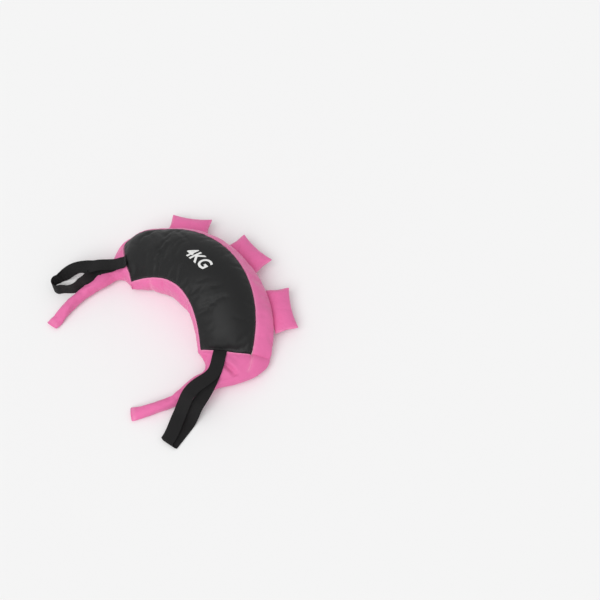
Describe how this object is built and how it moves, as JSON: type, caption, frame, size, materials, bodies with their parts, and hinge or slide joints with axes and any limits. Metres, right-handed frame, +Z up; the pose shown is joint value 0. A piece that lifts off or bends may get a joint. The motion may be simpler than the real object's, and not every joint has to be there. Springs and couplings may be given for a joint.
{
  "type": "bulgarian bag",
  "caption": "Crescent-shaped filled training bag lying flat, with stuffed tail grips at both ends, webbing loops and padded side tabs.",
  "frame": {"origin": "on the resting face of the base panel, below the middle of the crescent", "axes": "+Z up from the base panel, +Y from the hollow of the crescent to its outer wall, +X to the right arm"},
  "size_m": [0.6683, 0.6283, 0.1601],
  "materials": {
    "black_leather": "satin synthetic leather with fine grain",
    "pink_nylon": "plain-woven nylon with a soft sheen",
    "black_webbing": "woven webbing",
    "black_base": "coarse woven base cloth",
    "liner_cloth": "plain cotton liner",
    "granules": "packed fibre and granules",
    "foam": "open-cell foam"
  },
  "bodies": {
    "bag": {"top_panel": "black_leather", "base_panel": "black_base", "outer_gusset": "pink_nylon", "inner_gusset": "pink_nylon", "left_end_section": "pink_nylon", "right_end_section": "pink_nylon", "inner_bag": "liner_cloth", "filling": "granules"},
    "left_tail": {"left_tail_sleeve": "pink_nylon", "left_tail_core": "foam"},
    "right_tail": {"right_tail_sleeve": "pink_nylon", "right_tail_core": "foam"},
    "left_strap": {"left_strap_loop": "black_webbing"},
    "right_strap": {"right_strap_loop": "black_webbing"},
    "left_tab": {"left_tab_sleeve": "pink_nylon", "left_tab_pad": "foam"},
    "middle_tab": {"middle_tab_sleeve": "pink_nylon", "middle_tab_pad": "foam"},
    "right_tab": {"right_tab_sleeve": "pink_nylon", "right_tab_pad": "foam"}
  },
  "joints": [
    {"name": "left_tail_bend", "type": "hinge", "parent": "bag", "child": "left_tail", "pos_m": [-0.23816, -0.18983, 0.0245], "axis": [0, 0, 1], "range_deg": [-8, 30], "stiffness_Nm_per_rad": 0.4},
    {"name": "right_tail_bend", "type": "hinge", "parent": "bag", "child": "right_tail", "pos_m": [0.23456, -0.21933, 0.0245], "axis": [0, 0, -1], "range_deg": [-8, 30], "stiffness_Nm_per_rad": 0.4},
    {"name": "left_strap_lift", "type": "hinge", "parent": "bag", "child": "left_strap", "pos_m": [-0.20234, -0.12405, 0.07321], "axis": [-0.7864, 0.6177, 0], "range_deg": [0, 110]},
    {"name": "right_strap_lift", "type": "hinge", "parent": "bag", "child": "right_strap", "pos_m": [0.20234, -0.12405, 0.07357], "axis": [-0.7864, -0.6177, 0], "range_deg": [0, 110]},
    {"name": "left_tab_fold", "type": "hinge", "parent": "bag", "child": "left_tab", "pos_m": [-0.17222, 0.07836, 0.03672], "axis": [0.8311, 0.5518, 0.0698], "range_deg": [-20, 55], "stiffness_Nm_per_rad": 0.6},
    {"name": "middle_tab_fold", "type": "hinge", "parent": "bag", "child": "middle_tab", "pos_m": [0.01682, 0.13281, 0.04262], "axis": [0.9997, -0.0249, -0.006], "range_deg": [-20, 55], "stiffness_Nm_per_rad": 0.6},
    {"name": "right_tab_fold", "type": "hinge", "parent": "bag", "child": "right_tab", "pos_m": [0.20643, 0.07448, 0.03436], "axis": [0.8412, -0.5346, -0.0811], "range_deg": [-20, 55], "stiffness_Nm_per_rad": 0.6}
  ]
}
